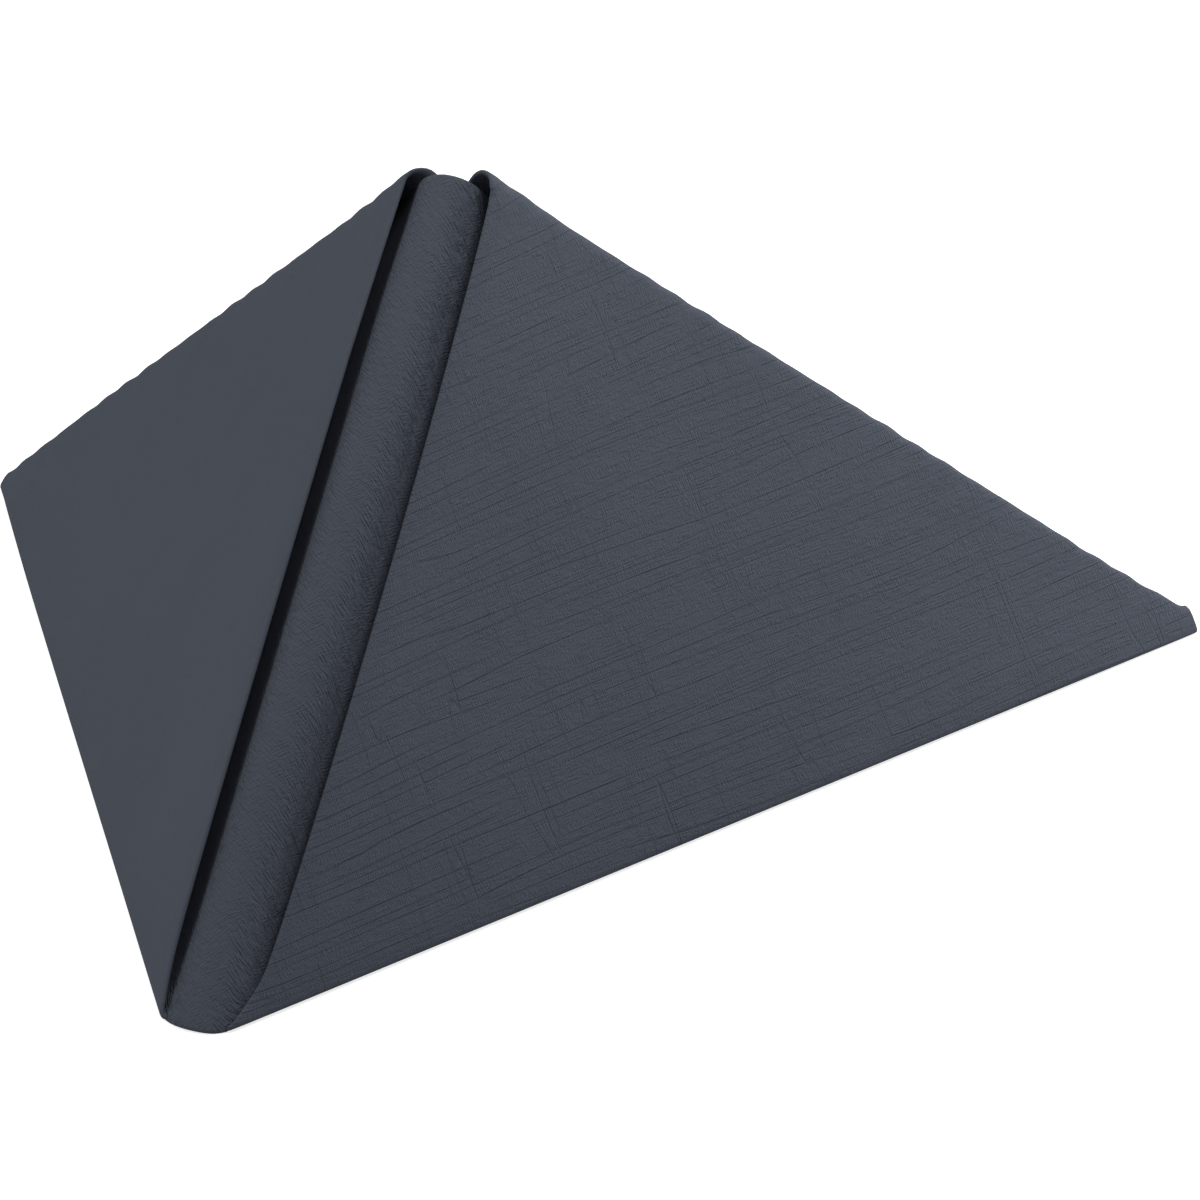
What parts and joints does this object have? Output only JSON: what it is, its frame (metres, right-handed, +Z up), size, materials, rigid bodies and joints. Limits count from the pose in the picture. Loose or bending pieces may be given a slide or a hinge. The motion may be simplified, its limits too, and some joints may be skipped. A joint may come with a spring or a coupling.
{
  "type": "paper napkin",
  "caption": "Square linen-embossed paper napkin folded into a standing pyramid, with flat triangular faces and a round roll along the front ridge.",
  "frame": {"origin": "on the table, under the middle of the napkin's outline", "axes": "+Z up, +Y from the nose of the ridge towards the open back, +X towards the right side corner"},
  "size_m": [0.1894, 0.18, 0.0903],
  "materials": {
    "paper": "anthracite airlaid paper, linen embossed, matt"
  },
  "bodies": {
    "root": {"napkin": "paper"}
  },
  "joints": []
}
